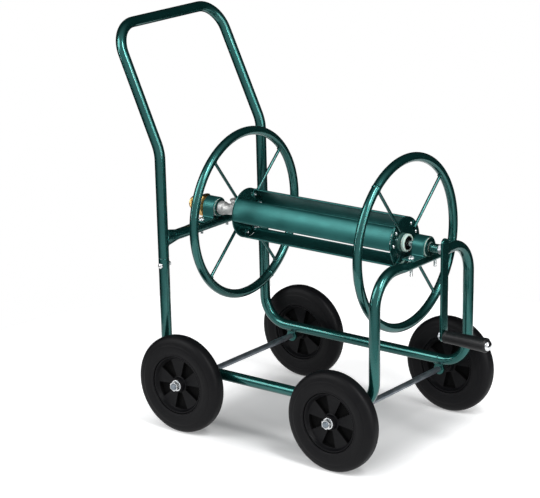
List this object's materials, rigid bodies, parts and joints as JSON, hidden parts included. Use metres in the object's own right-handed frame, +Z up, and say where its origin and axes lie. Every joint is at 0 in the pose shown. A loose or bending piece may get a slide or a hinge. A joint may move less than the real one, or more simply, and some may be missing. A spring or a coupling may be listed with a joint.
{
  "type": "garden hose reel cart",
  "caption": "Wheeled garden hose reel cart with a bent-tube frame, tall push handle, open wire-spoked reel, side crank and brass water inlet.",
  "frame": {"origin": "on the ground, under the middle of the whole cart's bounding box", "axes": "+X along the reel axis towards the crank, +Y across the cart, +Z up; the push handle stands at the -X end"},
  "size_m": [0.8039, 0.48, 0.8178],
  "materials": {
    "green_enamel": "glossy dark teal-green enamel on steel tube, rod and sheet",
    "tyre_rubber": "matt black moulded rubber",
    "wheel_plastic": "black moulded plastic, satin",
    "grip_plastic": "black moulded plastic, semi-gloss",
    "zinc_plate": "bright zinc plate",
    "axle_steel": "dull grey drawn steel",
    "brass": "machined brass, lightly tarnished",
    "galvanised_cast": "galvanised casting, grey and slightly rough",
    "pale_plastic": "pale mint moulded plastic",
    "chrome": "bright chrome"
  },
  "bodies": {
    "cart_frame": {"push_handle": "green_enamel", "side_rail_right": "green_enamel", "side_rail_left": "green_enamel", "front_arch": "green_enamel", "rear_crossbar": "green_enamel", "rear_axle": "axle_steel", "axle_lug_rear_right": "green_enamel", "spacer_rear_right": "wheel_plastic", "washer_rear_right": "zinc_plate", "axle_nut_rear_right": "zinc_plate", "axle_lug_rear_left": "green_enamel", "spacer_rear_left": "wheel_plastic", "washer_rear_left": "zinc_plate", "axle_nut_rear_left": "zinc_plate", "front_axle": "axle_steel", "axle_lug_front_right": "green_enamel", "spacer_front_right": "wheel_plastic", "washer_front_right": "zinc_plate", "axle_nut_front_right": "zinc_plate", "axle_lug_front_left": "green_enamel", "spacer_front_left": "wheel_plastic", "washer_front_left": "zinc_plate", "axle_nut_front_left": "zinc_plate", "handle_bolt_right": "zinc_plate", "handle_nut_right": "zinc_plate", "handle_bolt_left": "zinc_plate", "handle_nut_left": "zinc_plate", "inlet_bearing_strap": "green_enamel", "inlet_bearing_bolt_right": "zinc_plate", "inlet_bearing_bolt_left": "zinc_plate", "crank_bearing_strap": "green_enamel", "crank_bearing_bolt_right": "zinc_plate", "crank_bearing_bolt_left": "zinc_plate", "inlet_bush": "pale_plastic", "crank_bush": "pale_plastic", "inlet_body": "brass"},
    "inlet_swivel": {"inlet_coupling": "brass"},
    "reel": {"inlet_flange_ring": "green_enamel", "inlet_flange_spider": "green_enamel", "crank_flange_ring": "green_enamel", "crank_flange_spider": "green_enamel", "drum_panel_1": "green_enamel", "drum_panel_2": "green_enamel", "drum_panel_3": "green_enamel", "inlet_elbow": "galvanised_cast", "reel_shaft": "axle_steel", "reel_collar": "pale_plastic", "crank_lock_nut": "chrome", "crank_arm": "green_enamel", "grip_bolt": "chrome", "grip_nut": "chrome"},
    "grip": {"crank_grip": "grip_plastic"},
    "wheel_rear_right": {"tyre_rear_right": "tyre_rubber", "rim_rear_right": "wheel_plastic"},
    "wheel_rear_left": {"tyre_rear_left": "tyre_rubber", "rim_rear_left": "wheel_plastic"},
    "wheel_front_right": {"tyre_front_right": "tyre_rubber", "rim_front_right": "wheel_plastic"},
    "wheel_front_left": {"tyre_front_left": "tyre_rubber", "rim_front_left": "wheel_plastic"}
  },
  "joints": [
    {"name": "reel_spin", "type": "hinge", "parent": "cart_frame", "child": "reel", "pos_m": [0, 0, 0.415], "axis": [1, 0, 0], "continuous": true},
    {"name": "grip_spin", "type": "hinge", "parent": "reel", "child": "grip", "pos_m": [0.346, 0, 0.239], "axis": [1, 0, 0], "continuous": true},
    {"name": "coupling_spin", "type": "hinge", "parent": "cart_frame", "child": "inlet_swivel", "pos_m": [-0.318, 0, 0.415], "axis": [1, 0, 0], "continuous": true},
    {"name": "wheel_rear_right_spin", "type": "hinge", "parent": "cart_frame", "child": "wheel_rear_right", "pos_m": [-0.197, -0.21, 0.1015], "axis": [0, 1, 0], "continuous": true},
    {"name": "wheel_rear_left_spin", "type": "hinge", "parent": "cart_frame", "child": "wheel_rear_left", "pos_m": [-0.197, 0.21, 0.1015], "axis": [0, 1, 0], "continuous": true},
    {"name": "wheel_front_right_spin", "type": "hinge", "parent": "cart_frame", "child": "wheel_front_right", "pos_m": [0.179, -0.21, 0.1015], "axis": [0, 1, 0], "continuous": true},
    {"name": "wheel_front_left_spin", "type": "hinge", "parent": "cart_frame", "child": "wheel_front_left", "pos_m": [0.179, 0.21, 0.1015], "axis": [0, 1, 0], "continuous": true}
  ]
}
